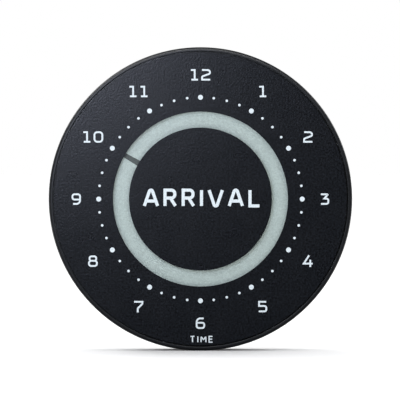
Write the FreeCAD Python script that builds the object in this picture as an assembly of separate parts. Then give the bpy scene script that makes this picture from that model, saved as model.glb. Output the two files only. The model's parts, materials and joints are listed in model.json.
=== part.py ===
import FreeCAD, Part
import math
import os

from FreeCAD import Vector

# Electronic parking disc for a windscreen, in millimetres.
# The dial faces -Y, twelve o'clock is +Z and X runs to the right of the dial.
# The origin is the centre of the dial face, and depths are counted back from it along +Y.

same_place = 1e-6  # closer than this counts as touching

# Overall size
body_radius = 50.0
body_depth = 15.0

# Fits and gaps
moving_gap = 0.3  # between pieces that move past each other
drop_in_gap = 0.2  # around a piece that drops into a pocket
pin_gap = 0.05  # radial, hinge pin in the door's barrel

# Front bezel
rim_width = 1.15
rim_outer_round = 0.6
rim_inner_round = 0.25
rim_stand = 0.05  # the rim's crest stands this far in front of the dial film
wall = 2.0
ledge_width = 2.85
ledge_thickness = 1.2
parting_chamfer = 0.25
tongue_height = 1.5
tongue_thickness = 1.4
tongue_gap = 0.2

# Lens and dial film
film_thickness = 0.2
film_margin = 0.45  # bare edge of the lens outside the film
lens_thickness = 1.5
lens_chamfer = 0.28
adhesive_thickness = 0.1
adhesive_width = 2.0
window_inner_radius = 23.55
window_outer_radius = 28.8

# Ring display
display_air_gap = 0.3
display_gasket_offset = 0.8
display_gasket_width = 1.8
display_margin = 3.7  # glass edge outside the window
polariser_margin = 1.0
polariser_thickness = 0.2
glass_thickness = 0.7
glass_seal_thickness = 0.05
glass_seal_width = 1.2
glass_corner_cut = 11.0
contact_ledge = 3.5
reflector_thickness = 0.25

# Display carrier
carrier_floor = 1.05
carrier_edge_gap = 0.4
carrier_flange_gap = 0.1
carrier_opening_radius = 20.0
zebra_width = 2.2
zebra_edge = 0.6  # strip edge to the edge of the front glass
zebra_gap = 0.1

# Circuit board
board_thickness = 1.0
board_edge_gap = 1.4
board_screw_inset = 3.5  # screw axis in from the board's edge
board_screw_radius = 0.85
board_screw_length = 2.6
board_screw_head_radius = 1.6
board_screw_head = 1.0
board_screw_hole_gap = 0.15

# Case screws and their posts
case_screw_inset = 6.5  # screw axis in from the body's outside
case_screw_radius = 1.0
case_screw_head_radius = 1.9
case_screw_head = 1.5
case_screw_tip_gap = 0.2
screw_drive_radius = 0.95
screw_drive_arm = 0.35
screw_drive_depth = 0.8
boss_radius = 2.5
boss_web = 2.5
boss_floor = 0.8
boss_height = 0.5  # boss stands past the parting plane
post_wall = 1.2
post_seat = 2.0
screw_head_gap = 0.3

# Rear housing
rear_wall = 1.6
rear_round = 3.0
rear_draft = 0.5  # the outside is this much smaller at the back

# Coin cell, the common 24.5 by 5 mm size
cell_radius = 12.25
cell_height = 5.0
cell_rim_step = 0.4
cell_can_wall = 0.3
cell_seal_wall = 0.8
cell_edge_round = 0.4
cell_z = -10.0

# Battery pocket
pocket_gap = 0.65
pocket_wall = 1.2
pocket_floor = 0.8
scoop_width = 8.0
scoop_reach = 1.8  # beyond the pocket's own radius
contact_thickness = 0.35
contact_width = 4.0
contact_top_gap = 1.0  # top of the positive contact, below the cell's back
leaf_length = 15.0
leaf_rise = 0.45
leg_width = 2.0
leg_slot_gap = 0.15

# Battery door
door_side_margin = 2.6  # door edge beside the pocket
door_margin = 3.1  # door edge below the pocket
door_ledge = 1.1
door_ledge_border = 1.4
door_pad_radius = 7.0
door_pad_thickness = 0.2
cell_play = 0.1  # between the cell and the closed door's pad
door_seat_gap = 0.1
door_corner = 1.5
hinge_above_pocket = 2.7
hinge_barrel_radius = 1.2
hinge_barrel_half = 9.7
hinge_pin_radius = 0.5
hinge_ear = 2.8
hinge_leaf_drop = 2.2  # top of the leaf beside the barrel, below the axis
hinge_slot_room = 0.8
hinge_tub_wall = 0.8
hinge_ear_lip = 1.3
latch_slot_width = 0.6
latch_slot_length = 5.0
latch_half_width = 4.0
latch_nib = 0.18
nail_notch_radius = 7.0
nail_notch_depth = 1.0

# Buttons and their switches
button_x = 13.0
button_z = 24.0
button_radius = 4.3
button_proud = 0.4
button_dish_radius = 14.0
button_dish_depth = 0.3
button_edge_round = 0.35
button_flange = 1.1
button_flange_thickness = 0.7
button_stem_radius = 1.5
button_travel = 0.5
button_dip_width = 1.6
button_dip_depth = 0.5
switch_size = 6.0
switch_height = 3.5
plunger_radius = 1.6
plunger_gap = 0.1
plunger_depth = 0.9
plunger_stand = 0.7
plunger_spare = 0.1

# Parts on the board, as x, z of their centres
chip_place = (-25.0, -2.0)
chip_size = 9.0
chip_height = 1.4
chip_stand = 0.1
chip_legs = 11
chip_leg_pitch = 0.65
chip_leg_width = 0.3
chip_leg_reach = 1.0
chip_leg_thickness = 0.15
sensor_place = (25.0, 3.0)
sensor_size = 3.0
sensor_height = 1.0
crystal_place = (-25.0, 9.5)
crystal_radius = 1.0
crystal_length = 6.0
crystal_lead_radius = 0.15
crystal_lead_length = 1.6
crystal_lead_spread = 0.35
capacitor_size = (1.6, 0.8, 0.8)  # along X, Y and Z
capacitor_places = [(-16.0, -28.0), (-12.0, -28.0), (-8.0, -28.0), (25.0, 8.0), (29.0, 8.0), (-32.5, 4.5)]
resistor_size = (1.6, 0.5, 0.8)
resistor_places = [(8.0, -28.0), (12.0, -28.0), (16.0, -28.0), (25.0, -3.0), (29.0, -3.0), (-32.5, -8.0)]

# Rear label
label_width = 34.0
label_height = 10.0
label_thickness = 0.1
label_corner = 1.5
label_below_notch = 1.6
label_gap = 0.15

# Depths worked out from front to back
lens_front = film_thickness
lens_back = lens_front + lens_thickness
ledge_front = lens_back + adhesive_thickness
ledge_back = ledge_front + ledge_thickness
polariser_front = lens_back + display_air_gap
front_glass_front = polariser_front + polariser_thickness
front_glass_back = front_glass_front + glass_thickness
rear_glass_front = front_glass_back + glass_seal_thickness
rear_glass_back = rear_glass_front + glass_thickness
reflector_back = rear_glass_back + reflector_thickness
board_front = reflector_back + carrier_floor
board_back = board_front + board_thickness
parting_depth = board_front + tongue_height  # the tongue's end holds the carrier down
switch_back = board_back + switch_height
plunger_back = switch_back + plunger_stand
rear_inside = body_depth - rear_wall
door_inside = rear_inside
door_seat = door_inside - door_seat_gap
cell_back = door_inside - door_pad_thickness - cell_play
cell_front = cell_back - cell_height
pocket_floor_back = cell_front - leaf_rise
pocket_floor_front = pocket_floor_back - pocket_floor
scoop_front = cell_front + cell_rim_step
seat_back = rear_inside - post_seat
boss_back = parting_depth + boss_height
boss_front = ledge_front + drop_in_gap
case_screw_front = boss_front + boss_floor
board_screw_bite = board_screw_length - board_thickness

# Radii worked out from the outside in
lens_pocket_radius = body_radius - rim_width
lens_radius = lens_pocket_radius - drop_in_gap
film_radius = lens_radius - film_margin
inner_radius = body_radius - wall
ledge_inner_radius = lens_pocket_radius - ledge_width
tongue_outer_radius = inner_radius - tongue_gap
tongue_inner_radius = tongue_outer_radius - tongue_thickness
carrier_radius = inner_radius - carrier_edge_gap
carrier_front_radius = ledge_inner_radius - carrier_edge_gap
board_radius = tongue_inner_radius - board_edge_gap
board_screw_circle = board_radius - board_screw_inset
case_screw_circle = body_radius - case_screw_inset
post_radius = case_screw_head_radius + screw_head_gap + post_wall
pocket_radius = cell_radius + pocket_gap
glass_half = window_outer_radius + display_margin
polariser_half = glass_half - polariser_margin
glass_half_height = glass_half + contact_ledge
hinge_z = cell_z + pocket_radius + hinge_above_pocket
hinge_depth = body_depth - hinge_barrel_radius
door_half_width = pocket_radius + door_side_margin
door_bottom = cell_z - pocket_radius - door_margin
nail_notch_reach = math.sqrt(nail_notch_radius**2 - (nail_notch_radius - nail_notch_depth) ** 2)
label_top = door_bottom - moving_gap - nail_notch_reach - label_below_notch
label_bottom = label_top - label_height
button_pairs = [("hour", button_x), ("minute", -button_x)]


def rod(radius, front, back, x=0.0, z=0.0):
    """A cylinder along Y from one depth to another."""
    return Part.makeCylinder(radius, back - front, Vector(x, front, z), Vector(0, 1, 0))


def ring(inner, outer, front, back, x=0.0, z=0.0):
    return rod(outer, front, back, x, z).cut(rod(inner, front, back, x, z))


def block(x0, x1, y0, y1, z0, z1):
    return Part.makeBox(x1 - x0, y1 - y0, z1 - z0, Vector(x0, y0, z0))


def centred_block(place, size, front):
    """A box on the board, its centre at an x, z place and its front at a depth."""
    x, z = place
    width, depth, height = size
    return block(x - width / 2, x + width / 2, front, front + depth, z - height / 2, z + height / 2)


def rounded_plate(half_width, bottom, top, radius, front, back):
    plate = block(-half_width, half_width, front, back, bottom, top)
    corners = [e for e in plate.Edges if abs(e.tangentAt(e.FirstParameter).y) > 1 - same_place]
    return plate.makeFillet(radius, corners)


def cut_corner_plate(half_width, half_height, cut, front, back):
    """A plate with four straight cut corners, as display glass is scribed and broken."""
    points = []
    for sx, sz in ((1, 1), (-1, 1), (-1, -1), (1, -1)):
        pair = [(sx * half_width, sz * (half_height - cut)), (sx * (half_width - cut), sz * half_height)]
        points += pair if sx * sz > 0 else pair[::-1]
    wire = Part.makePolygon([Vector(x, front, z) for x, z in points + points[:1]])
    return Part.Face(wire).extrude(Vector(0, back - front, 0))


def spun(edges):
    """Turn a closed profile of edges, drawn in the plane of X and Y, about the Y axis."""
    face = Part.Face(Part.Wire(Part.__sortEdges__(edges)))
    return face.revolve(Vector(0, 0, 0), Vector(0, 1, 0), 360)


def line(a, b):
    return Part.LineSegment(Vector(a[0], a[1], 0), Vector(b[0], b[1], 0)).toShape()


def quarter_round(centre, radius, start_degrees):
    """A quarter circle in the profile plane, from a starting angle onwards."""
    points = []
    for step in (0, 45, 90):
        angle = math.radians(start_degrees + step)
        points.append(Vector(centre[0] + radius * math.cos(angle), centre[1] + radius * math.sin(angle), 0))
    return Part.Arc(*points).toShape()


def path(points):
    return [line(a, b) for a, b in zip(points, points[1:])]


def around(circle, start_degrees):
    """Four x, z places on a circle."""
    turns = [math.radians(start_degrees + 90 * i) for i in range(4)]
    return [(circle * math.cos(t), circle * math.sin(t)) for t in turns]


def rim_at(shape, depth):
    """The round edges of a shape that lie at one depth."""
    return [e for e in shape.Edges if e.Closed and abs(e.Vertexes[0].Point.y - depth) < same_place]


def fused(first, others):
    return first.multiFuse(others).removeSplitter()


case_screw_places = around(case_screw_circle, 45)
board_screw_places = around(board_screw_circle, 0)


def boss_with_web(radius, web, front, back, web_back):
    """The bezel's four screw bosses, each tied to the wall by a web, as a list of shapes."""
    shapes = []
    for x, z in case_screw_places:
        shapes.append(rod(radius, front, back, x, z))
        rib = block(0, inner_radius - case_screw_circle + wall / 2, front, web_back, -web / 2, web / 2)
        turn = math.degrees(math.atan2(z, x))
        rib.rotate(Vector(0, 0, 0), Vector(0, 1, 0), -turn)
        rib.translate(Vector(x, 0, z))
        shapes.append(rib)
    return shapes


def front_bezel():
    crest = -rim_stand
    outer_turn = (body_radius - rim_outer_round, crest + rim_outer_round)
    inner_turn = (lens_pocket_radius + rim_inner_round, crest + rim_inner_round)
    edges = path(
        [
            (inner_turn[0] - rim_inner_round, inner_turn[1]),
            (lens_pocket_radius, ledge_front),
            (ledge_inner_radius, ledge_front),
            (ledge_inner_radius, ledge_back),
            (inner_radius, ledge_back),
            (inner_radius, parting_depth),
            (body_radius - parting_chamfer, parting_depth),
            (body_radius, parting_depth - parting_chamfer),
            (body_radius, outer_turn[1]),
        ]
    )
    edges.append(quarter_round(outer_turn, rim_outer_round, 270))
    edges.append(line((outer_turn[0], crest), (inner_turn[0], crest)))
    edges.append(quarter_round(inner_turn, rim_inner_round, 180))
    shell = spun(edges)
    bosses = boss_with_web(boss_radius, boss_web, boss_front, boss_back, board_front)
    shell = fused(shell, bosses)
    holes = [rod(case_screw_radius, case_screw_front, boss_back, x, z) for x, z in case_screw_places]
    return shell.cut(Part.makeCompound(holes))


def front_lens():
    lens = rod(lens_radius, lens_front, lens_back)
    return lens.makeChamfer(lens_chamfer, rim_at(lens, lens_front))


def dial_film():
    return ring(window_outer_radius, film_radius, 0, film_thickness)


def centre_film():
    return rod(window_inner_radius, 0, film_thickness)


def lens_adhesive():
    outer = lens_radius - drop_in_gap
    return ring(outer - adhesive_width, outer, lens_back, ledge_front)


def display_gasket():
    inner = window_outer_radius + display_gasket_offset
    return ring(inner, inner + display_gasket_width, lens_back, polariser_front)


def display_glass(half_height, front, back):
    return cut_corner_plate(glass_half, half_height, glass_corner_cut, front, back)


def polariser(front, back):
    cut = glass_corner_cut
    return cut_corner_plate(polariser_half, polariser_half, cut, front, back)


def lcd_edge_seal():
    outer = display_glass(glass_half, front_glass_back, rear_glass_front)
    half = glass_half - glass_seal_width
    return outer.cut(cut_corner_plate(half, half, glass_corner_cut, front_glass_back, rear_glass_front))


def zebra_strip(side, spare=0.0, front=None):
    """One conductive rubber strip, above (side 1) or below (side -1) the dial's centre."""
    far = glass_half_height - zebra_edge
    near = far - zebra_width
    low, high = sorted((side * (near - spare), side * (far + spare)))
    half = glass_half - glass_corner_cut + spare
    start = front_glass_back if front is None else front
    return block(-half, half, start, board_front, low, high)


def display_carrier():
    plate = rod(carrier_front_radius, polariser_front, board_front)
    flange = rod(carrier_radius, ledge_back + carrier_flange_gap, board_front)
    body = fused(plate, [flange])
    pocket = cut_corner_plate(
        glass_half + moving_gap,
        glass_half_height + moving_gap,
        glass_corner_cut,
        polariser_front,
        reflector_back,
    )
    away = [pocket, rod(carrier_opening_radius, reflector_back, board_front)]
    away += [zebra_strip(side, zebra_gap, reflector_back) for side in (1, -1)]
    away += boss_with_web(boss_radius + moving_gap, boss_web + 2 * moving_gap, 0, board_front, board_front)
    hole_front = board_front - board_screw_bite
    away += [rod(board_screw_radius, hole_front, board_front, x, z) for x, z in board_screw_places]
    for shape in away:
        body = body.cut(shape)
    return body


def circuit_board():
    board = rod(board_radius, board_front, board_back)
    away = [rod(boss_radius + moving_gap, board_front, board_back, x, z) for x, z in case_screw_places]
    hole = board_screw_radius + board_screw_hole_gap
    away += [rod(hole, board_front, board_back, x, z) for x, z in board_screw_places]
    return board.cut(Part.makeCompound(away))


def screw(radius, length, head_radius, head, seat, x, z):
    """A screw driven forwards from its seat, with a cross in its head."""
    shape = rod(radius, seat - length, seat, x, z).fuse(rod(head_radius, seat, seat + head, x, z))
    top = seat + head
    floor = top - screw_drive_depth
    arm = screw_drive_arm / 2
    long_arm = screw_drive_radius
    cross = block(x - long_arm, x + long_arm, floor, top, z - arm, z + arm)
    cross = cross.fuse(block(x - arm, x + arm, floor, top, z - long_arm, z + long_arm))
    return shape.removeSplitter().cut(cross)


def case_screws():
    length = seat_back - case_screw_front - case_screw_tip_gap
    sizes = (case_screw_radius, length, case_screw_head_radius, case_screw_head, seat_back)
    return Part.makeCompound([screw(*sizes, x, z) for x, z in case_screw_places])


def board_screws():
    sizes = (board_screw_radius, board_screw_length, board_screw_head_radius, board_screw_head, board_back)
    return Part.makeCompound([screw(*sizes, x, z) for x, z in board_screw_places])


def microcontroller():
    x, z = chip_place
    front = board_back + chip_stand
    shape = centred_block(chip_place, (chip_size, chip_height, chip_size), front)
    first = -chip_leg_pitch * (chip_legs - 1) / 2
    half = chip_size / 2
    foot = board_back + chip_stand + chip_height / 2
    for i in range(chip_legs):
        along = first + chip_leg_pitch * i
        for turn in range(4):
            out = half + chip_leg_reach
            low, high = along - chip_leg_width / 2, along + chip_leg_width / 2
            leg = block(half, half + chip_leg_reach / 2, foot, foot + chip_leg_thickness, low, high)
            mid = half + chip_leg_reach / 2
            leg = leg.fuse(block(mid - chip_leg_thickness, mid, board_back, foot, low, high))
            leg = leg.fuse(block(mid, out, board_back, board_back + chip_leg_thickness, low, high))
            leg.rotate(Vector(0, 0, 0), Vector(0, 1, 0), 90 * turn)
            leg.translate(Vector(x, 0, z))
            shape = shape.fuse(leg)
    return shape.removeSplitter()


def motion_sensor():
    return centred_block(sensor_place, (sensor_size, sensor_height, sensor_size), board_back)


def clock_crystal():
    """A tuning-fork crystal in a small metal can, lying on the board, with its two leads."""
    x, z = crystal_place
    axis = board_back + crystal_radius
    left = x - crystal_length / 2
    can = Part.makeCylinder(crystal_radius, crystal_length, Vector(left, axis, z), Vector(1, 0, 0))
    for side in (1, -1):
        start = Vector(left - crystal_lead_length, axis, z + side * crystal_lead_spread)
        can = can.fuse(Part.makeCylinder(crystal_lead_radius, crystal_lead_length, start, Vector(1, 0, 0)))
    return can.removeSplitter()


def chips(places, size):
    return Part.makeCompound([centred_block(place, size, board_back) for place in places])


def switch_body(x):
    half = switch_size / 2
    body = block(x - half, x + half, board_back, switch_back, button_z - half, button_z + half)
    bore_front = switch_back - plunger_depth - button_travel - plunger_spare
    return body.cut(rod(plunger_radius + plunger_gap, bore_front, switch_back, x, button_z))


def switch_plunger(x):
    return rod(plunger_radius, switch_back - plunger_depth, plunger_back, x, button_z)


def button(x):
    """A dished key with a retaining flange behind the rear wall and a stem down to its switch."""
    flange_back = rear_inside - moving_gap
    flange_front = flange_back - button_flange_thickness
    top = body_depth + button_proud
    cap = rod(button_radius, flange_back, top, x, button_z)
    cap = cap.makeFillet(button_edge_round, rim_at(cap, top))
    dish_centre = Vector(x, top - button_dish_depth + button_dish_radius, button_z)
    cap = cap.cut(Part.makeSphere(button_dish_radius, dish_centre))
    flange = rod(button_radius + button_flange, flange_front, flange_back, x, button_z)
    stem = rod(button_stem_radius, plunger_back, flange_front, x, button_z)
    return fused(cap, [flange, stem])


def door_outline(spare, front, back):
    """The door's flat leaf, or with spare room around it the recess it lies in."""
    top = hinge_z - hinge_leaf_drop + spare
    half = door_half_width + spare
    return rounded_plate(half, door_bottom - spare, top, door_corner, front, back)


def battery_door():
    leaf = door_outline(0, door_inside, body_depth)
    half = hinge_barrel_half
    neck = block(-half, half, door_inside, body_depth, hinge_z - hinge_leaf_drop - door_corner, hinge_z)
    start = Vector(-half, hinge_depth, hinge_z)
    barrel = Part.makeCylinder(hinge_barrel_radius, 2 * half, start, Vector(1, 0, 0))
    nib_radius = moving_gap
    nib_z = door_bottom + nib_radius - latch_nib
    nib_start = Vector(-latch_half_width / 2, (door_inside + body_depth) / 2, nib_z)
    nib = Part.makeCylinder(nib_radius, latch_half_width, nib_start, Vector(1, 0, 0))
    door = fused(leaf, [neck, barrel, nib])
    bore = hinge_pin_radius + pin_gap
    door = door.cut(Part.makeCylinder(bore, 2 * half, start, Vector(1, 0, 0)))
    for side in (1, -1):
        near, far = sorted((side * latch_half_width, side * (latch_half_width + latch_slot_width)))
        door = door.cut(
            block(near, far, door_inside, body_depth, door_bottom, door_bottom + latch_slot_length)
        )
    return door


def battery_door_pin():
    half = hinge_barrel_half + moving_gap + hinge_ear
    start = Vector(-half, hinge_depth, hinge_z)
    return Part.makeCylinder(hinge_pin_radius, 2 * half, start, Vector(1, 0, 0))


def door_foam_pad():
    return rod(door_pad_radius, cell_back + cell_play, door_inside, z=cell_z)


def leaf_leg_x():
    return leaf_length / 2 - leg_width / 2


def positive_strip(spare, front, back):
    """The strip beside the cell, or with spare room the slot it stands in."""
    far = cell_radius + contact_thickness
    half = contact_width / 2 + spare
    return block(cell_radius - spare, far + spare, front, back, cell_z - half, cell_z + half)


def battery_contact_positive():
    return positive_strip(0, board_back, cell_back - contact_top_gap)


def negative_leg(spare):
    x = leaf_leg_x()
    half = leg_width / 2 + spare
    low = cell_z - contact_thickness / 2 - spare
    high = cell_z + contact_thickness / 2 + spare
    return block(x - half, x + half, board_back, pocket_floor_back, low, high)


def battery_contact_negative():
    """A bowed leaf on the pocket's floor, touching the cell's cap, with a leg down to the board."""
    rise = leaf_rise - contact_thickness
    half = leaf_length / 2
    low, high = pocket_floor_back, pocket_floor_back + contact_thickness
    under = Part.Arc(Vector(-half, low, 0), Vector(0, low + rise, 0), Vector(half, low, 0)).toShape()
    over = Part.Arc(Vector(-half, high, 0), Vector(0, high + rise, 0), Vector(half, high, 0)).toShape()
    edges = [under, over, line((-half, low), (-half, high)), line((half, low), (half, high))]
    face = Part.Face(Part.Wire(Part.__sortEdges__(edges)))
    face.translate(Vector(0, 0, cell_z - contact_width / 2))
    leaf = face.extrude(Vector(0, 0, contact_width))
    x = leaf_leg_x()
    top = pocket_floor_back + contact_thickness
    low_z, high_z = cell_z - contact_thickness / 2, cell_z + contact_thickness / 2
    leg = block(x - leg_width / 2, x + leg_width / 2, board_back, top, low_z, high_z)
    return fused(leaf, [leg])


def coin_cell_can():
    front = cell_front + cell_rim_step
    can = rod(cell_radius, front, cell_back, z=cell_z)
    can = can.makeFillet(cell_edge_round, rim_at(can, cell_back))
    return can.cut(rod(cell_radius - cell_can_wall, front, cell_back - cell_can_wall, z=cell_z))


def coin_cell_seal():
    outer = cell_radius - cell_can_wall
    front = cell_front + cell_rim_step
    return ring(outer - cell_seal_wall, outer, front, cell_back - cell_can_wall, z=cell_z)


def coin_cell_cap():
    radius = cell_radius - cell_can_wall - cell_seal_wall
    return rod(radius, cell_front, cell_back - cell_can_wall, z=cell_z)


def label_plate(spare, front):
    half = label_width / 2 + spare
    return rounded_plate(half, label_bottom - spare, label_top + spare, label_corner, front, body_depth)


def rear_label():
    return label_plate(0, body_depth - label_thickness)


def hinge_tub():
    """The thick part of the rear wall around the hinge, before the barrel's slot is cut."""
    half = hinge_barrel_half + moving_gap + hinge_ear
    low = hinge_z - hinge_leaf_drop
    high = hinge_z + hinge_barrel_radius + hinge_slot_room + hinge_tub_wall
    front = hinge_depth - hinge_barrel_radius - moving_gap - hinge_tub_wall
    return block(-half, half, front, body_depth, low, high)


def hinge_slot():
    half = hinge_barrel_half + moving_gap
    low = hinge_z - hinge_leaf_drop - moving_gap
    high = hinge_z + hinge_barrel_radius + hinge_slot_room
    front = hinge_depth - hinge_barrel_radius - moving_gap
    return block(-half, half, front, body_depth, low, high)


def ear_relief():
    """Room under the ears for the top of the swinging leaf."""
    half = door_half_width + moving_gap
    low = hinge_z - hinge_leaf_drop - door_corner
    return block(-half, half, door_seat, body_depth, low, hinge_z - hinge_ear_lip)


def finger_scoop(spare):
    """Room for a fingertip beside the cell, or with spare room the walls around it."""
    far = pocket_radius + scoop_reach + spare
    half = scoop_width / 2 + spare
    return block(-far, 0, scoop_front - spare, door_seat, cell_z - half, cell_z + half)


def rear_shell():
    """The cup itself, open at the front, with its tongue for the bezel."""
    back_radius = body_radius - rear_draft
    turn = (back_radius - rear_round, body_depth - rear_round)
    inner_turn = rear_round - rear_wall
    edges = path(
        [
            (0, rear_inside),
            (inner_radius - rear_draft - inner_turn, rear_inside),
            (inner_radius - rear_draft, rear_inside - inner_turn),
            (inner_radius - rear_draft, parting_depth + wall),
            (tongue_inner_radius, parting_depth + wall / 2),
            (tongue_inner_radius, parting_depth - tongue_height),
            (tongue_outer_radius, parting_depth - tongue_height),
            (tongue_outer_radius, parting_depth),
            (body_radius - parting_chamfer, parting_depth),
            (body_radius, parting_depth + parting_chamfer),
            (back_radius, turn[1]),
        ]
    )
    edges.append(quarter_round(turn, rear_round, 0))
    edges += path([(turn[0], body_depth), (0, body_depth), (0, rear_inside)])
    return spun(edges)


def rear_housing():
    posts = [rod(post_radius, boss_back, rear_inside + rear_wall / 2, x, z) for x, z in case_screw_places]
    pocket = rod(pocket_radius + pocket_wall, pocket_floor_front, door_seat, z=cell_z)
    half = door_half_width + moving_gap + door_ledge_border
    low = door_bottom - moving_gap - door_ledge_border
    tray = block(-half, half, door_seat - door_ledge, body_depth, low, hinge_z)
    notch_z = door_bottom - moving_gap
    body = fused(rear_shell(), posts + [pocket, finger_scoop(pocket_wall), tray, hinge_tub()])
    away = [door_outline(moving_gap, door_seat, body_depth), hinge_slot(), ear_relief()]
    away.append(rod(pocket_radius, pocket_floor_back, body_depth, z=cell_z))
    away.append(finger_scoop(0))
    away.append(positive_strip(leg_slot_gap, pocket_floor_front, cell_back))
    away.append(negative_leg(leg_slot_gap))
    ear_half = hinge_barrel_half + moving_gap + hinge_ear
    start = Vector(-ear_half, hinge_depth, hinge_z)
    away.append(Part.makeCylinder(hinge_pin_radius, 2 * ear_half, start, Vector(1, 0, 0)))
    notch_centre = Vector(0, body_depth + nail_notch_radius - nail_notch_depth, notch_z)
    away.append(Part.makeSphere(nail_notch_radius, notch_centre))
    for x, z in case_screw_places:
        away.append(rod(case_screw_head_radius + screw_head_gap, seat_back, body_depth, x, z))
        away.append(rod(case_screw_radius + screw_head_gap, boss_back, seat_back, x, z))
    for name, x in button_pairs:
        away.append(rod(button_radius + moving_gap, rear_inside, body_depth, x, button_z))
        dip = button_radius + moving_gap + button_dip_width
        away.append(
            Part.makeCone(
                button_radius + moving_gap,
                dip,
                button_dip_depth,
                Vector(x, body_depth - button_dip_depth, button_z),
                Vector(0, 1, 0),
            )
        )
    away.append(label_plate(label_gap, body_depth - label_thickness))
    for shape in away:
        body = body.cut(shape)
    return body.removeSplitter()


pieces = {
    "front_bezel": front_bezel(),
    "front_lens": front_lens(),
    "dial_film": dial_film(),
    "centre_film": centre_film(),
    "lens_adhesive": lens_adhesive(),
    "display_gasket": display_gasket(),
    "lcd_front_polariser": polariser(polariser_front, front_glass_front),
    "lcd_front_glass": display_glass(glass_half_height, front_glass_front, front_glass_back),
    "lcd_edge_seal": lcd_edge_seal(),
    "lcd_rear_glass": display_glass(glass_half, rear_glass_front, rear_glass_back),
    "lcd_reflector": polariser(rear_glass_back, reflector_back),
    "display_carrier": display_carrier(),
    "zebra_strip_upper": zebra_strip(1),
    "zebra_strip_lower": zebra_strip(-1),
    "circuit_board": circuit_board(),
    "board_screws": board_screws(),
    "microcontroller": microcontroller(),
    "motion_sensor": motion_sensor(),
    "clock_crystal": clock_crystal(),
    "capacitors": chips(capacitor_places, capacitor_size),
    "resistors": chips(resistor_places, resistor_size),
    "battery_contact_positive": battery_contact_positive(),
    "battery_contact_negative": battery_contact_negative(),
    "coin_cell_can": coin_cell_can(),
    "coin_cell_seal": coin_cell_seal(),
    "coin_cell_cap": coin_cell_cap(),
    "rear_housing": rear_housing(),
    "battery_door": battery_door(),
    "battery_door_pin": battery_door_pin(),
    "door_foam_pad": door_foam_pad(),
    "case_screws": case_screws(),
    "rear_label": rear_label(),
}
for name, x in button_pairs:
    pieces[name + "_button"] = button(x)
    pieces[name + "_switch_body"] = switch_body(x)
    pieces[name + "_switch_plunger"] = switch_plunger(x)

os.makedirs("parts", exist_ok=True)
for name, shape in pieces.items():
    shape.exportStep("parts/" + name + ".step")
    print(name, len(shape.Solids), round(shape.Volume, 2), "valid" if shape.isValid() else "NOT VALID")
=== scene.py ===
import json
import math

import bmesh
import bpy
from mathutils import Matrix, Vector


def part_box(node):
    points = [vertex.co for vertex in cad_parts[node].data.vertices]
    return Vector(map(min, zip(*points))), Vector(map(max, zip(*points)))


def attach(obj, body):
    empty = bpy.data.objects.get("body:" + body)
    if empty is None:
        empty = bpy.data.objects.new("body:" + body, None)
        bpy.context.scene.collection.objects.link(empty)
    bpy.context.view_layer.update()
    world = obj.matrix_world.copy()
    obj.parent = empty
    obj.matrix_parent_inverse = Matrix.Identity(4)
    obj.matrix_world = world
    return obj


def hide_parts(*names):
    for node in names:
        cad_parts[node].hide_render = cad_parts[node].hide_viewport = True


# A round electronic parking disc, standing on its edge in a white studio.
# Metres, the dial faces -Y, twelve o'clock is +Z.

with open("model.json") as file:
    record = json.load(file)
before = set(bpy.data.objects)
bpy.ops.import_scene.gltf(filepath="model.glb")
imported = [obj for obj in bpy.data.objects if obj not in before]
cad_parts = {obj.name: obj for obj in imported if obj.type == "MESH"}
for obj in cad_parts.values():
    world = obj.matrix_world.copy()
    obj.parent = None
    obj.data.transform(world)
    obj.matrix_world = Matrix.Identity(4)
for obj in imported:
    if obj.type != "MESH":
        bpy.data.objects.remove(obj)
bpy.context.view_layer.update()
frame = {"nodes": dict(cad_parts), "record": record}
scene = bpy.context.scene
mm = 0.001
bodyOf = {node: body for body, nodes in frame["record"]["behaviour"]["bodies"].items() for node in nodes}
print("frame loaded,", len(frame["nodes"]), "nodes")


def linear(hexColour):
    # sRGB hex to the linear values that the shaders want
    parts = [int(hexColour[i : i + 2], 16) / 255 for i in (1, 3, 5)]
    return [c / 12.92 if c <= 0.04045 else ((c + 0.055) / 1.055) ** 2.4 for c in parts] + [1.0]


def addNode(tree, kind, settings=None, links=None):
    # keys with a capital first letter, and numbers, are sockets; the others are the node's own
    node = tree.nodes.new(kind)
    for key, value in (settings or {}).items():
        if isinstance(key, int) or key[0].isupper():
            node.inputs[key].default_value = value
        else:
            setattr(node, key, value)
    for key, source in (links or {}).items():
        tree.links.new(source, node.inputs[key])
    return node


def newMaterial(name):
    material = bpy.data.materials.new(name)
    material.use_nodes = True
    material.node_tree.nodes.clear()
    return material, material.node_tree


def finishMaterial(tree, shader):
    out = tree.nodes.new("ShaderNodeOutputMaterial")
    tree.links.new(shader, out.inputs["Surface"])


noiseSpan = (0.32, 0.68)  # nearly all of a noise lies between these


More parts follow.
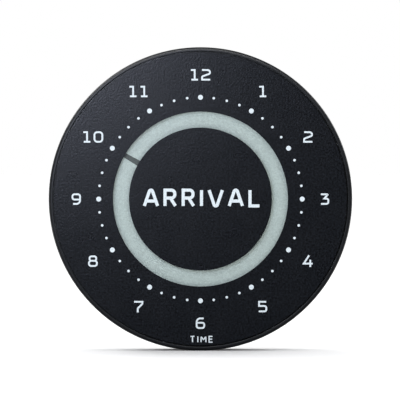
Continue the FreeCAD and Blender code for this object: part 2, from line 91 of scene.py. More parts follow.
def noisySurface(name, look):
    # one noise gives the colour and the relief, another the gloss
    material, tree = newMaterial(name)
    place = tree.nodes.new("ShaderNodeTexCoord").outputs["Object"]
    laid = addNode(tree, "ShaderNodeMapping", {"Scale": look["stretch"]}, {"Vector": place}).outputs["Vector"]
    fine = {"Scale": 1 / look["grain"], "Detail": look["grainDetail"]}
    grain = addNode(tree, "ShaderNodeTexNoise", fine, {"Vector": laid}).outputs["Fac"]
    broad = {"Scale": 1 / look["patches"], "Detail": look["patchDetail"]}
    patches = addNode(tree, "ShaderNodeTexNoise", broad, {"Vector": laid}).outputs["Fac"]
    colours = addNode(tree, "ShaderNodeValToRGB", links={"Fac": grain})
    for stop, position, colour in zip(colours.color_ramp.elements, noiseSpan, (look["dark"], look["pale"])):
        stop.position = position
        stop.color = linear(colour)
    smooth, rough = look["roughness"]
    gloss = addNode(
        tree,
        "ShaderNodeMapRange",
        {"From Min": noiseSpan[0], "From Max": noiseSpan[1], "To Min": smooth, "To Max": rough},
        {"Value": patches},
    )
    raised = {"Strength": look["relief"], "Distance": look["depth"]}
    bump = addNode(tree, "ShaderNodeBump", raised, {"Height": grain})
    shader = addNode(
        tree,
        "ShaderNodeBsdfPrincipled",
        look["shader"],
        {
            "Base Color": colours.outputs["Color"],
            "Roughness": gloss.outputs["Result"],
            "Normal": bump.outputs["Normal"],
        },
    )
    finishMaterial(tree, shader.outputs["BSDF"])
    return material


def grainedPlastic(name, look):
    # moulded or printed: a fine grain in colour and surface, broad patches in the gloss
    own = {"stretch": (1, 1, 1), "grainDetail": 3, "patchDetail": 2}
    return noisySurface(name, {**look, **own, "depth": look["grain"] / 4, "shader": {"IOR": look["ior"]}})


# polyester film with a matt hard coat: blue-black, a fine sparkle under a broad soft sheen
hardCoatedFilm = grainedPlastic(
    "hardCoatedFilm",
    {
        "dark": "#000001",
        "pale": "#161a20",
        "grain": 0.6 * mm,  # the real grit is finer, drawn as coarse as it needs to show
        "patches": 9 * mm,
        "roughness": (0.27, 0.31),
        "relief": 0.34,
        "ior": 1.46,
    },
)
# ABS off a finely blasted tool: satin black, a soft grey band round the rim
rimAbs = grainedPlastic(
    "satinBlackAbs",
    {
        "dark": "#131517",
        "pale": "#1b1d20",
        "grain": 0.8 * mm,
        "patches": 12 * mm,
        "roughness": (0.36, 0.42),
        "relief": 0.05,
        "ior": 1.54,
    },
)
# ABS off a spark-eroded tool: an even satin grain that hides finger marks
sparkErodedAbs = grainedPlastic(
    "sparkErodedBlackAbs",
    {
        "dark": "#0b0c0e",
        "pale": "#1f2124",
        "grain": 0.35 * mm,
        "patches": 14 * mm,
        "roughness": (0.42, 0.52),
        "relief": 0.45,
        "ior": 1.54,
    },
)
# the keys' ABS, a shade paler so that they stand out from the shell
satinAbs = grainedPlastic(
    "satinGreyAbs",
    {
        "dark": "#24262a",
        "pale": "#303338",
        "grain": 0.3 * mm,
        "patches": 6 * mm,
        "roughness": (0.36, 0.44),
        "relief": 0.2,
        "ior": 1.54,
    },
)
# screen ink: opaque, chalky, with a slightly cool tint
screenInk = grainedPlastic(
    "whiteScreenInk",
    {
        "dark": "#c4ced3",
        "pale": "#d6e0e4",
        "grain": 0.4 * mm,
        "patches": 5 * mm,
        "roughness": (0.55, 0.65),
        "relief": 0.05,
        "ior": 1.5,
    },
)
# polariser over a reflective display: pale grey-green with a fine speckle
polariserFilm = grainedPlastic(
    "reflectivePolariser",
    {
        "dark": "#b8c1bf",
        "pale": "#cad3d1",
        "grain": 0.6 * mm,
        "patches": 8 * mm,
        "roughness": (0.5, 0.6),
        "relief": 0.0,
        "ior": 1.5,
    },
)
# a segment that is switched on: dark grey, with the display's green in it
segmentInk = grainedPlastic(
    "darkDisplaySegment",
    {
        "dark": "#434945",
        "pale": "#4c524e",
        "grain": 0.6 * mm,
        "patches": 5 * mm,
        "roughness": (0.5, 0.6),
        "relief": 0.0,
        "ior": 1.5,
    },
)
# fibreglass board under green solder mask
solderMask = grainedPlastic(
    "greenSolderMask",
    {
        "dark": "#0c3a1f",
        "pale": "#155230",
        "grain": 0.6 * mm,
        "patches": 4 * mm,
        "roughness": (0.25, 0.35),
        "relief": 0.1,
        "ior": 1.55,
    },
)
# epoxy moulding compound: dull black with a sandy surface
mouldingEpoxy = grainedPlastic(
    "chipMouldingEpoxy",
    {
        "dark": "#131313",
        "pale": "#242424",
        "grain": 0.2 * mm,
        "patches": 3 * mm,
        "roughness": (0.5, 0.6),
        "relief": 0.2,
        "ior": 1.52,
    },
)
# closed-cell foam and tape: dead black, no gloss
closedCellFoam = grainedPlastic(
    "closedCellFoam",
    {
        "dark": "#0a0a0b",
        "pale": "#262628",
        "grain": 0.25 * mm,
        "patches": 3 * mm,
        "roughness": (0.85, 0.95),
        "relief": 0.9,
        "ior": 1.4,
    },
)
# unpainted polycarbonate: milky grey
naturalPolycarbonate = grainedPlastic(
    "naturalPolycarbonate",
    {
        "dark": "#9fa2a0",
        "pale": "#b4b7b5",
        "grain": 0.5 * mm,
        "patches": 9 * mm,
        "roughness": (0.45, 0.55),
        "relief": 0.15,
        "ior": 1.58,
    },
)
# silicone strip: dull rose, in fine layers
layeredSilicone = grainedPlastic(
    "layeredSilicone",
    {
        "dark": "#7c4a4a",
        "pale": "#945a58",
        "grain": 0.1 * mm,
        "patches": 3 * mm,
        "roughness": (0.6, 0.7),
        "relief": 0.2,
        "ior": 1.41,
    },
)
# soda-lime glass with its electrode coating: smooth, faintly green
coatedGlass = grainedPlastic(
    "coatedDisplayGlass",
    {
        "dark": "#8fa3a0",
        "pale": "#9fb3b0",
        "grain": 2 * mm,
        "patches": 12 * mm,
        "roughness": (0.05, 0.1),
        "relief": 0.0,
        "ior": 1.52,
    },
)
# vinyl label: satin mid grey
satinVinyl = grainedPlastic(
    "satinLabelVinyl",
    {
        "dark": "#8f9294",
        "pale": "#9da0a2",
        "grain": 0.4 * mm,
        "patches": 6 * mm,
        "roughness": (0.35, 0.45),
        "relief": 0.08,
        "ior": 1.5,
    },
)
# thin grey ink on the label
greyInk = grainedPlastic(
    "greyScreenInk",
    {
        "dark": "#34373a",
        "pale": "#42464a",
        "grain": 0.3 * mm,
        "patches": 5 * mm,
        "roughness": (0.5, 0.6),
        "relief": 0.05,
        "ior": 1.5,
    },
)
# fired ceramic chip: tan, slightly rough
firedCeramic = grainedPlastic(
    "firedCeramic",
    {
        "dark": "#7a6248",
        "pale": "#92775a",
        "grain": 0.2 * mm,
        "patches": 2 * mm,
        "roughness": (0.4, 0.5),
        "relief": 0.2,
        "ior": 1.6,
    },
)


def workedMetal(name, look):
    # the fine streaks that drawing, rolling or plating leaves, in the colour, the relief and the gloss
    own = {"patches": look["grain"], "grainDetail": 4, "patchDetail": 4}
    return noisySurface(name, {**look, **own, "depth": look["grain"] / 8, "shader": {"Metallic": 1.0}})


# stainless cell can: bright, lightly brushed across
brushedStainless = workedMetal(
    "brushedStainless",
    {
        "dark": "#b2b4b5",
        "pale": "#d2d3d3",
        "grain": 0.5 * mm,
        "stretch": (0.15, 1, 1.6),
        "roughness": (0.22, 0.34),
        "relief": 0.1,
    },
)
# laser-marked steel: the same metal, dull and darker
markedSteel = workedMetal(
    "laserMarkedSteel",
    {
        "dark": "#4c4d50",
        "pale": "#626366",
        "grain": 0.5 * mm,
        "stretch": (0.15, 1, 1.6),
        "roughness": (0.5, 0.6),
        "relief": 0.1,
    },
)
# black zinc plate: dark and a little patchy, worn on no edge yet
blackZinc = workedMetal(
    "blackZincPlate",
    {
        "dark": "#2b2b2d",
        "pale": "#4a4a4d",
        "grain": 0.5 * mm,
        "stretch": (1, 1, 1),
        "roughness": (0.3, 0.42),
        "relief": 0.15,
    },
)
# nickel plate: warm and bright
nickelPlate = workedMetal(
    "nickelPlate",
    {
        "dark": "#b5b0a6",
        "pale": "#cfcbc2",
        "grain": 0.5 * mm,
        "stretch": (1, 1, 3),
        "roughness": (0.2, 0.3),
        "relief": 0.05,
    },
)


lensLook = {
    "tint": "#fbfdfc",
    "roughness": 0.25,
    "straightOn": 0.04,  # the share that is mirrored straight on; all of it is at grazing
    "grazingPower": 5.0,
}


def clearAcrylic():
    # cast acrylic: lets the light straight through, with a soft reflection that grows towards grazing,
    # the same from inside and outside
    material, tree = newMaterial("clearAcrylic")
    facing = addNode(tree, "ShaderNodeLayerWeight", {"Blend": 0.5}).outputs["Facing"]
    power = {"operation": "POWER", 1: lensLook["grazingPower"]}
    grazing = addNode(tree, "ShaderNodeMath", power, {0: facing}).outputs["Value"]
    climb = {"operation": "MULTIPLY_ADD", 1: 1 - lensLook["straightOn"], 2: lensLook["straightOn"]}
    share = addNode(tree, "ShaderNodeMath", climb, {0: grazing}).outputs["Value"]
    clear = addNode(tree, "ShaderNodeBsdfTransparent", {"Color": linear(lensLook["tint"])}).outputs["BSDF"]
    mirror = {"Color": linear("#ffffff"), "Roughness": lensLook["roughness"]}
    gloss = addNode(tree, "ShaderNodeBsdfGlossy", mirror).outputs["BSDF"]
    mixed = addNode(tree, "ShaderNodeMixShader", links={0: share, 1: clear, 2: gloss})
    finishMaterial(tree, mixed.outputs["Shader"])
    return material


lensAcrylic = clearAcrylic()
print("materials ready")


def addPiece(name, bm, material, body, replaced=()):
    # a finished mesh in place becomes a piece that rides on its body
    mesh = bpy.data.meshes.new(name)
    bm.to_mesh(mesh)
    bm.free()
    piece = bpy.data.objects.new(name, mesh)
    scene.collection.objects.link(piece)
    mesh.materials.append(material)
    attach(piece, body)
    if replaced:
        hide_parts(*replaced)
    return piece


smoothAngle = 30  # degrees, edges sharper than this stay sharp


def smoothShade(piece):
    # smooth but for the sharp edges, with large faces kept flat
    piece.data.shade_smooth()
    piece.data.set_sharp_from_angle(angle=math.radians(smoothAngle))
    weighted = piece.modifiers.new("weightedNormals", "WEIGHTED_NORMAL")
    weighted.keep_sharp = True


roundCorner = 0.5  # the bevel profile that is a circle's arc
alongY = Matrix.Rotation(math.pi / 2, 4, "X")  # turns a cylinder's axis from Z to Y


def addRod(bm, radius, length, sides, middle):
    bmesh.ops.create_cone(
        bm,
        cap_ends=True,
        segments=sides,
        radius1=radius,
        radius2=radius,
        depth=length,
        matrix=Matrix.Translation(middle) @ alongY,
    )


softening = {
    "sharpAngle": 32,  # degrees, edges sharper than this are rounded
    "flatAngle": 0.6,  # degrees, faces flatter than this are one face
    "mergeDistance": 0.0005 * mm,
    "segments": 2,
}


def softenedPiece(node, name, material, edge):
    # a merged copy of the CAD shape with its edges eased, as a mould leaves them
    bm = bmesh.new()
    bm.from_mesh(frame["nodes"][node].data)
    bmesh.ops.remove_doubles(bm, verts=bm.verts, dist=softening["mergeDistance"])
    bmesh.ops.dissolve_limit(
        bm,
        angle_limit=math.radians(softening["flatAngle"]),
        use_dissolve_boundaries=False,
        verts=bm.verts,
        edges=bm.edges,
    )
    limit = math.radians(softening["sharpAngle"])
    sharp = [e for e in bm.edges if e.is_manifold and e.calc_face_angle() > limit]
    bmesh.ops.bevel(
        bm,
        geom=sharp,
        offset=edge,
        offset_type="OFFSET",
        segments=softening["segments"],
        profile=roundCorner,
        affect="EDGES",
        clamp_overlap=False,
        material=-1,
    )
    piece = addPiece(name, bm, material, bodyOf[node], [node])
    smoothShade(piece)


# each CAD shape that only needs its edges eased: piece name, material and the size of its edge
softenedPieces = {
    "rear_housing": ("rearShell", sparkErodedAbs, 0.08 * mm),
    "battery_door": ("batteryDoor", sparkErodedAbs, 0.1 * mm),
    "battery_door_pin": ("hingePin", nickelPlate, 0.08 * mm),
    "hour_button": ("hourKey", satinAbs, 0.1 * mm),
    "minute_button": ("minuteKey", satinAbs, 0.1 * mm),
    "case_screws": ("caseScrews", blackZinc, 0.08 * mm),
    "board_screws": ("boardScrews", nickelPlate, 0.06 * mm),
    "rear_label": ("blankLabel", satinVinyl, 0.02 * mm),
    "door_foam_pad": ("doorPad", closedCellFoam, 0.06 * mm),
    "coin_cell_cap": ("cellCap", brushedStainless, 0.08 * mm),
    "coin_cell_seal": ("cellSeal", mouldingEpoxy, 0.05 * mm),
    "battery_contact_negative": ("leafContact", nickelPlate, 0.05 * mm),
    "battery_contact_positive": ("sideContact", nickelPlate, 0.05 * mm),
    "microcontroller": ("microcontrollerChip", mouldingEpoxy, 0.03 * mm),
    "display_carrier": ("displayFrame", naturalPolycarbonate, 0.1 * mm),
    "circuit_board": ("clockBoard", solderMask, 0.05 * mm),
    "lcd_front_glass": ("frontGlass", coatedGlass, 0.05 * mm),
    "lcd_rear_glass": ("rearGlass", coatedGlass, 0.05 * mm),
}
for node, (name, material, edge) in softenedPieces.items():
    softenedPiece(node, name, material, edge)

turnSteps = 256  # round a full turn

bezelLook = {
    "outerRound": 1.0 * mm,
    "innerRound": 0.1 * mm,
    "edge": 0.12 * mm,
    "partingEdge": 0.2 * mm,
    "arcSegments": 8,
    "rimWidth": 1.3 * mm,
    "ledgeWidth": 2.7 * mm,
    "ledgeThickness": 1.2 * mm,
    "wall": 2.0 * mm,
    "partingDepth": 6.45 * mm,
    "bosses": 4,
    "bossTurn": 45,  # degrees from the X axis to the first
    "bossInset": 6.5 * mm,
    "bossRadius": 2.5 * mm,
    "bossFront": 2.0 * mm,
    "bossBack": 6.95 * mm,
    "bossSides": 32,
}


def turnedShape(profile, arcSegments):
    # a profile of (radius, depth, rounding) is spun about the Y axis, each corner rounded first
    bm = bmesh.new()
    verts = [bm.verts.new((radius, depth, 0)) for radius, depth, rounding in profile]
    for pair in zip(verts, verts[1:]):
        bm.edges.new(pair)
    if profile[0][0] > 0:
        bm.edges.new((verts[-1], verts[0]))  # a ring's profile is closed, a disc's ends on the axis
    for vert, (radius, depth, rounding) in zip(verts, profile):
        if rounding:
            bmesh.ops.bevel(
                bm,
                geom=[vert],
                offset=rounding,
                offset_type="OFFSET",
                segments=arcSegments,
                profile=roundCorner,
                affect="VERTICES",
                clamp_overlap=False,
                material=-1,
            )
    bmesh.ops.spin(
        bm,
        geom=bm.verts[:] + bm.edges[:],
        cent=(0, 0, 0),
        axis=(0, 1, 0),
        angle=2 * math.pi,
        steps=turnSteps,
        use_merge=True,
    )
    bmesh.ops.remove_doubles(bm, verts=bm.verts, dist=softening["mergeDistance"])
    bmesh.ops.recalc_face_normals(bm, faces=bm.faces)
    return bm


def rimBezel():
    # the rim, the ledge under the lens and the posts for the case screws
    low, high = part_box("front_bezel")
    crest, outer = low.y, high.x
    pocket = outer - bezelLook["rimWidth"]
    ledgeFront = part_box("lens_adhesive")[1].y
    ledgeBack = ledgeFront + bezelLook["ledgeThickness"]
    inside = outer - bezelLook["wall"]
    hem = pocket - bezelLook["ledgeWidth"]
    parting = bezelLook["partingDepth"]
    edge = bezelLook["edge"]
    profile = [
        (pocket, crest, bezelLook["innerRound"]),
        (outer, crest, bezelLook["outerRound"]),
        (outer, parting, bezelLook["partingEdge"]),
        (inside, parting, edge),
        (inside, ledgeBack, edge),
        (hem, ledgeBack, edge),
        (hem, ledgeFront, edge),
        (pocket, ledgeFront, 0),
    ]
    bm = turnedShape(profile, bezelLook["arcSegments"])
    circle = outer - bezelLook["bossInset"]
    length = bezelLook["bossBack"] - bezelLook["bossFront"]
    middle = (bezelLook["bossBack"] + bezelLook["bossFront"]) / 2
    for i in range(bezelLook["bosses"]):
        turn = math.radians(bezelLook["bossTurn"]) + 2 * math.pi * i / bezelLook["bosses"]
        place = (math.cos(turn) * circle, middle, -math.sin(turn) * circle)
        addRod(bm, bezelLook["bossRadius"], length, bezelLook["bossSides"], place)
    piece = addPiece("rimBezel", bm, rimAbs, "case", ["front_bezel"])
    smoothShade(piece)


rimBezel()

# the lens and the two films over it, as round as the rim
turnedSheets = {
    "front_lens": {
        "name": "dialLens",
        "material": lensAcrylic,
        "hole": 0,
        "frontRound": 0.28 * mm,
        "edge": 0.04 * mm,
    },
    "dial_film": {
        "name": "hourFilm",
        "material": hardCoatedFilm,
        "hole": 28.8 * mm,
        "frontRound": 0.02 * mm,
        "edge": 0.01 * mm,
    },
    "centre_film": {
        "name": "centreFilm",
        "material": hardCoatedFilm,
        "hole": 0,
        "frontRound": 0.02 * mm,
        "edge": 0.01 * mm,
    },
}
sheetArcSegments = 3


def turnedSheet(node, look):
    low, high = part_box(node)
    hole = look["hole"]
    corner = look["edge"] if hole else 0
    profile = [
        (hole, low.y, corner),
        (high.x, low.y, look["frontRound"]),
        (high.x, high.y, look["edge"]),
        (hole, high.y, corner),
    ]
    bm = turnedShape(profile, sheetArcSegments)
    piece = addPiece(look["name"], bm, look["material"], bodyOf[node], [node])
    smoothShade(piece)


for node, look in turnedSheets.items():
    turnedSheet(node, look)

# the CAD shapes that are right as they are
keptNodes = {
    "lens_adhesive": closedCellFoam,
    "display_gasket": closedCellFoam,
    "lcd_front_polariser": polariserFilm,
    "lcd_edge_seal": naturalPolycarbonate,
    "lcd_reflector": nickelPlate,
    "zebra_strip_upper": layeredSilicone,
    "zebra_strip_lower": layeredSilicone,
    "motion_sensor": mouldingEpoxy,
    "clock_crystal": nickelPlate,
    "capacitors": firedCeramic,
    "resistors": mouldingEpoxy,
    "hour_switch_body": mouldingEpoxy,
    "minute_switch_body": mouldingEpoxy,
    "hour_switch_plunger": mouldingEpoxy,
    "minute_switch_plunger": mouldingEpoxy,
    "coin_cell_can": brushedStainless,
}
for node, material in keptNodes.items():
    slots = frame["nodes"][node].data.materials
    slots.clear()
    slots.append(material)
print("case, keys, door and insides finished")


filmInk = {
    "node": "dial_film",
    "surface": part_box("dial_film")[0].y,
    "side": -1,  # the surface faces -Y
    "slot": "dial_print",
    "material": screenInk,
    "proud": 0.02 * mm,  # the ink in front of the film
    "keyed": 0.005 * mm,  # and its bite into it
    "lap": 0.004 * mm,  # where strokes cross, each lies this much in front of the one before
}
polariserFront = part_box("lcd_front_polariser")[0].y


def roundLoop(half, top, bottom, radius):
    # a closed stroke with four rounded corners
    corners = [(half, top, radius), (half, bottom, radius), (-half, bottom, radius), (-half, top, radius)]
    return [(0, top), *corners, (0, top)]


# pen strokes in millimetres about a digit's middle, where a third value is the radius of that corner
digits = {
    "0": [roundLoop(1.3, 1.58, -1.58, 0.95)],
    "1": [[(-1.1, 1.58), (0.12, 1.58), (0.12, -1.58)], [(-0.95, -1.58), (1.2, -1.58)]],
    "2": [[(-1.3, 1.58), (1.3, 1.58, 0.8), (1.3, 0.4, 0.5), (-1.3, -0.55, 0.5), (-1.3, -1.58), (1.4, -1.58)]],
    "3": [
        [(-1.25, 1.58), (1.1, 1.58, 0.12), (-0.1, 0.2), (1.2, 0.12, 0.6), (1.2, -1.58, 0.65), (-1.2, -1.58)],
    ],
    "4": [[(0.35, 1.9), (-1.4, -0.8), (1.5, -0.8)], [(0.75, 0.45), (0.75, -1.92)]],
    "5": [[(1.2, 1.58), (-1.15, 1.58), (-1.15, 0.2), (1.25, 0.2, 0.65), (1.25, -1.58, 0.65), (-1.25, -1.58)]],
    "6": [
        [(1.05, 1.58), (-1.25, 1.58, 1.2), (-1.25, -1.58, 0.7), (0, -1.58)],
        [(0, -1.58), (1.25, -1.58, 0.7), (1.25, 0.15, 0.65), (-1.25, 0.15)],
    ],
    "7": [[(-1.4, 1.58), (1.35, 1.58), (1.25, 0.85, 0.4), (-0.2, -0.6, 0.5), (-0.2, -1.92)]],
    "8": [roundLoop(1.1, 1.58, 0.12, 0.65), roundLoop(1.3, 0.12, -1.58, 0.75)],
}
# a nine is a six turned half round
digits["9"] = [[(-p[0], -p[1], *p[2:]) for p in stroke] for stroke in digits["6"]]

# plain capitals on the same principle, one unit high
capitals = {
    "A": [
        [(-0.42, -0.5), (-0.075, 0.5, 0.105), (0.075, 0.5, 0.105), (0.42, -0.5)],
        [(-0.3, -0.19), (0.3, -0.19)],
    ],
    "E": [[(0.3, 0.5), (-0.3, 0.5), (-0.3, -0.5), (0.3, -0.5)], [(-0.3, 0.02), (0.24, 0.02)]],
    "H": [[(-0.34, 0.5), (-0.34, -0.5)], [(0.34, 0.5), (0.34, -0.5)], [(-0.34, 0), (0.34, 0)]],
    "I": [[(0, 0.5), (0, -0.5)]],
    "L": [[(-0.28, 0.5), (-0.28, -0.5), (0.32, -0.5)]],
    "M": [[(-0.42, -0.5), (-0.42, 0.5, 0.06), (0, -0.1, 0.06), (0.42, 0.5, 0.06), (0.42, -0.5)]],
    "R": [
        [(-0.32, -0.5), (-0.32, 0.5)],
        [(-0.418, 0.5), (0.3, 0.5, 0.22), (0.3, 0, 0.22), (-0.32, 0)],
        [(0.02, 0), (0.34, -0.5)],
    ],
    "T": [[(-0.34, 0.5), (0.34, 0.5)], [(0, 0.5), (0, -0.5)]],
    "V": [[(-0.42, 0.5), (-0.075, -0.5, 0.105), (0.075, -0.5, 0.105), (0.42, 0.5)]],
}


def roundedPath(points, arcSteps):
    # the corners of a pen stroke become arcs, where its points give a radius
    path = [Vector(points[0][:2])]
    for before, here, after in zip(points, points[1:], points[2:]):
        corner = Vector(here[:2])
        back = (Vector(before[:2]) - corner).normalized()
        on = (Vector(after[:2]) - corner).normalized()
        if len(here) < 3:
            path.append(corner)
            continue
        half = back.angle(on) / 2
        centre = corner + (back + on).normalized() * here[2] / math.sin(half)
        start = corner + back * here[2] / math.tan(half) - centre
        end = corner + on * here[2] / math.tan(half) - centre
        arc = [start.normalized().slerp(end.normalized(), i / arcSteps) for i in range(arcSteps + 1)]
        path += [centre + point * here[2] for point in arc]
    return path + [Vector(points[-1][:2])]


samePlace = 1e-6  # in the strokes' own units, points nearer than this are one


def penStrokes(bm, strokes, middle, scale, ink):
    # each stroke is a thin wall along the pen's path, which Solidify then makes as wide as the pen
    side = ink["side"]
    for i, points in enumerate(strokes):
        proud = ink["proud"] + i * ink["lap"]
        path = roundedPath(points, ink["arcSteps"])
        closed = (path[0] - path[-1]).length < samePlace
        spots = path[:-1] if closed else path
        depth = ink["surface"] + side * proud
        verts = [bm.verts.new((middle.x - side * p.x * scale, depth, middle.y + p.y * scale)) for p in spots]
        edges = [bm.edges.new(pair) for pair in zip(verts, verts[1:])]
        if closed:
            edges.append(bm.edges.new((verts[-1], verts[0])))
        wall = bmesh.ops.extrude_edge_only(bm, edges=edges)["geom"]
        moved = [v for v in wall if isinstance(v, bmesh.types.BMVert)]
        bmesh.ops.translate(bm, verts=moved, vec=(0, -side * (proud + ink["keyed"]), 0))


def inkPiece(name, bm, ink):
    piece = addPiece(name, bm, ink["material"], bodyOf[ink["node"]])
    wide = piece.modifiers.new("penWidth", "SOLIDIFY")
    wide.thickness = ink["pen"]
    wide.offset = 0
    wide.use_even_offset = True


def lineOfGlyphs(bm, word, glyphs, middle, scale, ink):
    widths, spacing = ink["widths"], ink["spacing"]
    total = sum(widths[c] for c in word) + spacing * (len(word) - 1)
    left = -total / 2
    for c in word:
        place = Vector((middle.x - ink["side"] * (left + widths[c] / 2) * scale, middle.y))
        penStrokes(bm, glyphs[c], place, scale, ink)
        left += widths[c] + spacing


hoursRound = 12

numeralLook = {
    **filmInk,
    "pen": 0.57 * mm,
    "circle": 40.9 * mm,
    "widths": {c: 2.6 for c in "023456789"} | {"1": 2.2},
    "spacing": 1.45,
    "arcSteps": 6,
}


def hourNumerals():
    bm = bmesh.new()
    for hour in range(1, hoursRound + 1):
        turn = 2 * math.pi * hour / hoursRound
        middle = Vector((math.sin(turn), math.cos(turn))) * numeralLook["circle"]
        lineOfGlyphs(bm, str(hour), digits, middle, mm, numeralLook)
    inkPiece("hourNumerals", bm, numeralLook)


dotLook = {
    **filmInk,
    "circle": 33.5 * mm,
    "hourRadius": 0.81 * mm,
    "quarterRadius": 0.42 * mm,
    "perHour": 4,
    "sides": 24,
}


def quarterDots():
    bm = bmesh.new()
    thick = dotLook["proud"] + dotLook["keyed"]
    depth = dotLook["surface"] - dotLook["proud"] + thick / 2
    count = hoursRound * dotLook["perHour"]
    for i in range(count):
        turn = 2 * math.pi * i / count
        radius = dotLook["hourRadius"] if i % dotLook["perHour"] == 0 else dotLook["quarterRadius"]
        place = (math.sin(turn) * dotLook["circle"], depth, math.cos(turn) * dotLook["circle"])
        addRod(bm, radius, thick, dotLook["sides"], place)
    addPiece("quarterHourDots", bm, dotLook["material"], bodyOf[dotLook["node"]])


wordLook = {
    **filmInk,
    "node": "centre_film",
    "text": "ARRIVAL",
    "height": 5.2 * mm,  # along the middle of the pen
    "pen": 1.02 * mm,
    "widths": {"A": 0.74, "R": 0.62, "I": 0.0, "V": 0.74, "L": 0.56},
    "spacing": 0.53,
    "middle": Vector((0.5 * mm, 0.35 * mm)),
    "arcSteps": 6,
}
smallWordLook = {
    **filmInk,
    "text": "TIME",
    "height": 1.9 * mm,
    "pen": 0.38 * mm,
    "widths": {"T": 0.68, "I": 0.0, "M": 0.8, "E": 0.58},
    "spacing": 0.58,
    "middle": Vector((0.35 * mm, -46.2 * mm)),
    "arcSteps": 4,
}


def printedWord(name, look):
    bm = bmesh.new()
    lineOfGlyphs(bm, look["text"], capitals, look["middle"], look["height"], look)
    inkPiece(name, bm, look)


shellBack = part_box("rear_housing")[1].y
keyLetterLook = {
    **filmInk,
    "node": "rear_housing",
    "surface": shellBack,
    "side": 1,  # the surface faces +Y
    "height": 2.4 * mm,
    "pen": 0.42 * mm,
    "widths": {"H": 0.68, "M": 0.8},
    "spacing": 0,
    "above": 7.4 * mm,  # over the middle of its key
    "arcSteps": 4,
}


def keyLetter(name, letter, key):
    low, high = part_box(key)
    middle = Vector(((low.x + high.x) / 2, (low.z + high.z) / 2 + keyLetterLook["above"]))
    printedWord(name, {**keyLetterLook, "text": letter, "middle": middle})


cellMarkLook = {
    "node": "coin_cell_can",
    "surface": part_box("coin_cell_can")[1].y,
    "side": 1,
    "slot": "cell_steel",
    "material": markedSteel,
    "proud": 0.02 * mm,
    "keyed": 0.01 * mm,
    "lap": 0.004 * mm,
    "pen": 0.7 * mm,
    "arm": 2.4 * mm,  # half a bar of the plus
    "arcSteps": 24,
}


def cellMark():
    # the plus that every cell carries on its can
    low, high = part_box("coin_cell_can")
    middle = Vector(((low.x + high.x) / 2, (low.z + high.z) / 2))
    bm = bmesh.new()
    plus = [[(-1, 0), (1, 0)], [(0, 1), (0, -1)]]
    penStrokes(bm, plus, middle, cellMarkLook["arm"], cellMarkLook)
    inkPiece("cellPlus", bm, cellMarkLook)


labelFrameLook = {
    "node": "rear_label",
    "surface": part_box("rear_label")[1].y,
    "side": 1,
    "slot": "label",
    "material": greyInk,
    "proud": 0.01 * mm,
    "keyed": 0.005 * mm,
    "lap": 0.002 * mm,
    "pen": 0.25 * mm,
    "inset": 1.1 * mm,
    "corner": 0.9 * mm,
    "arcSteps": 6,
}


def labelFrame():
    # a printed line round the blank label
    low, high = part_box("rear_label")
    look = labelFrameLook
    wide = (high.x - low.x) / 2 - look["inset"]
    tall = (high.z - low.z) / 2 - look["inset"]
    middle = Vector(((low.x + high.x) / 2, (low.z + high.z) / 2))
    bm = bmesh.new()
    penStrokes(bm, [roundLoop(wide, tall, -tall, look["corner"])], middle, 1, look)
    inkPiece("labelFrame", bm, look)


handLook = {
    "turn": 300,  # degrees clockwise from twelve, ten o'clock
    "outerWidth": 1.5 * mm,
    "innerWidth": 1.95 * mm,
    "inner": 23.0 * mm,
    "outer": 29.4 * mm,
    "thickness": 0.01 * mm,
}


def handSegment():
    # a tapered bar across the ring, standing at twelve and then turned to its hour
    bm = bmesh.new()
    length = handLook["outer"] - handLook["inner"]
    bmesh.ops.create_cube(bm, size=1)
    bmesh.ops.scale(bm, verts=bm.verts, vec=(handLook["innerWidth"], handLook["thickness"], length))
    for v in bm.verts:
        if v.co.z > 0:
            v.co.x *= handLook["outerWidth"] / handLook["innerWidth"]
    middle = (handLook["outer"] + handLook["inner"]) / 2
    bmesh.ops.translate(bm, verts=bm.verts, vec=(0, polariserFront - handLook["thickness"] / 2, middle))
    turn = Matrix.Rotation(math.radians(handLook["turn"]), 3, "Y")
    bmesh.ops.rotate(bm, verts=bm.verts, matrix=turn)
    addPiece("handSegment", bm, segmentInk, bodyOf["lcd_front_polariser"])


hourNumerals()
quarterDots()
printedWord("arrivalWord", wordLook)
printedWord("timeWord", smallWordLook)
handSegment()
keyLetter("hourLetter", "H", "hour_button")
keyLetter("minuteLetter", "M", "minute_button")
cellMark()
labelFrame()
print("dial and back printed")


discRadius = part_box("rear_housing")[1].z
studio = {
    "floorHalf": 3.0,
    "cameraDistance": 1.6,
    "cameraRise": 1.4,  # degrees above the dial's axis
    "pictureWidth": 0.1317,  # what the picture spans at the dial
    "sensorWidth": 36,  # millimetres
    "clipEnd": 20,
    "aim": Vector((-0.15 * mm, 0, -0.3 * mm)),
    "floorSeen": "#c4c4c4",
    "floorGlow": 0.06,
    # painted dark reflection: the floor's colour for glossy rays in front of the disc
    "floorPaintedReflection": "#1e1e1e",
    "paintedReflectionEdge": (0.0, 0.03),  # the floor shows its painted dark reflection in front of the first, pale paper behind the second
    "worldSeen": 1.0,
    "worldFill": 0.04,
}


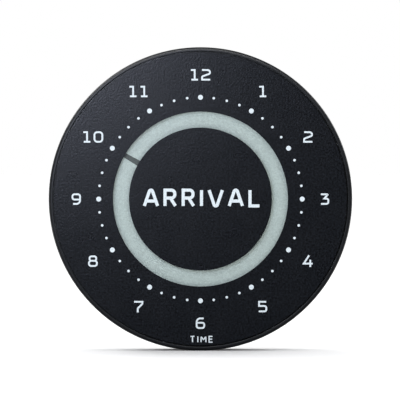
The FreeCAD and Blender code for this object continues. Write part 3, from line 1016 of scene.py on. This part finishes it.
def paperFloor():
    bm = bmesh.new()
    bmesh.ops.create_grid(bm, x_segments=1, y_segments=1, size=studio["floorHalf"])
    bmesh.ops.translate(bm, verts=bm.verts, vec=(0, 0, -discRadius))
    mesh = bpy.data.meshes.new("floor")
    bm.to_mesh(mesh)
    bm.free()
    floor = bpy.data.objects.new("floor", mesh)
    scene.collection.objects.link(floor)
    # white sweep; in front of the disc it is painted dark for glossy rays only, a painted dark reflection
    # that only the glossy face mirrors
    material, tree = newMaterial("whitePaperSweep")
    place = tree.nodes.new("ShaderNodeTexCoord").outputs["Object"]
    depth = addNode(tree, "ShaderNodeSeparateXYZ", links={0: place}).outputs["Y"]
    dark, pale = studio["paintedReflectionEdge"]
    ahead = addNode(tree, "ShaderNodeMapRange", {"From Min": pale, "From Max": dark}, {"Value": depth})
    glossy = tree.nodes.new("ShaderNodeLightPath").outputs["Is Glossy Ray"]
    # where the painted dark reflection shows: glossy rays that meet the floor in front of the disc
    darkReflectionMask = addNode(
        tree, "ShaderNodeMath", {"operation": "MULTIPLY"}, {0: glossy, 1: ahead.outputs["Result"]}
    ).outputs["Value"]
    paper = addNode(tree, "ShaderNodeBsdfDiffuse", {"Color": linear(studio["floorSeen"])}).outputs["BSDF"]
    glow = addNode(tree, "ShaderNodeEmission", {"Strength": studio["floorGlow"]}).outputs["Emission"]
    white = addNode(tree, "ShaderNodeAddShader", links={0: paper, 1: glow})
    # the painted dark reflection, seen only in the gloss
    paintedDarkReflection = addNode(tree, "ShaderNodeBsdfDiffuse", {"Color": linear(studio["floorPaintedReflection"])})
    mixed = addNode(
        tree, "ShaderNodeMixShader", links={0: darkReflectionMask, 1: white.outputs["Shader"], 2: paintedDarkReflection.outputs["BSDF"]}
    )
    finishMaterial(tree, mixed.outputs["Shader"])
    mesh.materials.append(material)


def studioWorld():
    # white behind everything, and a faint even fill on the surfaces
    world = bpy.data.worlds.new("studio")
    scene.world = world
    world.use_nodes = True
    tree = world.node_tree
    tree.nodes.clear()
    seen = tree.nodes.new("ShaderNodeLightPath").outputs["Is Camera Ray"]
    shades = [
        addNode(tree, "ShaderNodeBackground", {"Strength": strength, "Color": linear("#ffffff")})
        for strength in (studio["worldFill"], studio["worldSeen"])
    ]
    fill, white = [shade.outputs["Background"] for shade in shades]
    mixed = addNode(tree, "ShaderNodeMixShader", links={0: seen, 1: fill, 2: white})
    out = tree.nodes.new("ShaderNodeOutputWorld")
    tree.links.new(mixed.outputs["Shader"], out.inputs["Surface"])


# The small soft box close to the dial's upper left gives the film its sheen there. The tent's top and
# front are broad and add no gloss. Two boxes behind light the back, and the strip adds only a glint along
# the rim's upper edge.
lights = {
    "closeSoftBox": {
        "kind": "DISK",
        "place": (-0.078, -0.261, 0.08),
        "size": (0.124, 0.124),
        "power": 0.235,
        "colour": "#e2e9ff",
        "lights": "all",
    },
    "tentTop": {
        "kind": "SUN",
        "place": (0, 0.5, 0.87),
        "spread": 105,  # degrees
        "power": 5.2,
        "colour": "#ffffff",
        "lights": "diffuse",
    },
    "tentFront": {
        "kind": "SUN",
        "place": (-0.15, -0.85, 0.5),
        "spread": 125,
        "power": 2.35,
        "colour": "#ffffff",
        "lights": "diffuse",
    },
    "backLeftBox": {
        "kind": "RECTANGLE",
        "place": (-0.4, 0.32, 0.38),
        "size": (0.3, 0.3),
        "power": 1.7,
        "colour": "#ffffff",
        "lights": "all",
    },
    "backRightBox": {
        "kind": "RECTANGLE",
        "place": (0.45, 0.3, 0.25),
        "size": (0.3, 0.3),
        "power": 0.8,
        "colour": "#ffffff",
        "lights": "all",
    },
    "rimStrip": {
        "kind": "RECTANGLE",
        "place": (-0.1, -0.3, 0.38),
        "size": (0.6, 0.06),
        "power": 1.6,
        "colour": "#ffffff",
        "lights": "glossy",
    },
}


def studioLight(name, look):
    data = bpy.data.lights.new(name, "SUN" if look["kind"] == "SUN" else "AREA")
    data.energy = look["power"]
    data.color = linear(look["colour"])[:3]
    if look["kind"] == "SUN":
        data.angle = math.radians(look["spread"])
    else:
        data.shape = look["kind"]
        data.size, data.size_y = look["size"]
    light = bpy.data.objects.new(name, data)
    scene.collection.objects.link(light)
    light.location = look["place"]
    light.rotation_euler = (-Vector(look["place"])).to_track_quat("-Z", "Y").to_euler()
    light.visible_camera = False
    light.visible_diffuse = look["lights"] != "glossy"
    light.visible_glossy = look["lights"] != "diffuse"


def studioCamera():
    data = bpy.data.cameras.new("camera")
    data.sensor_width = studio["sensorWidth"]
    data.lens = data.sensor_width * studio["cameraDistance"] / studio["pictureWidth"]
    data.clip_end = studio["clipEnd"]
    camera = bpy.data.objects.new("camera", data)
    scene.collection.objects.link(camera)
    rise = math.radians(studio["cameraRise"])
    camera.location = studio["aim"] + Vector((0, -math.cos(rise), math.sin(rise))) * studio["cameraDistance"]
    camera.rotation_euler = (studio["aim"] - camera.location).to_track_quat("-Z", "Y").to_euler()
    scene.camera = camera


paperFloor()
studioWorld()
for name, look in lights.items():
    studioLight(name, look)
studioCamera()
scene.view_settings.view_transform = "Standard"
print("studio ready")
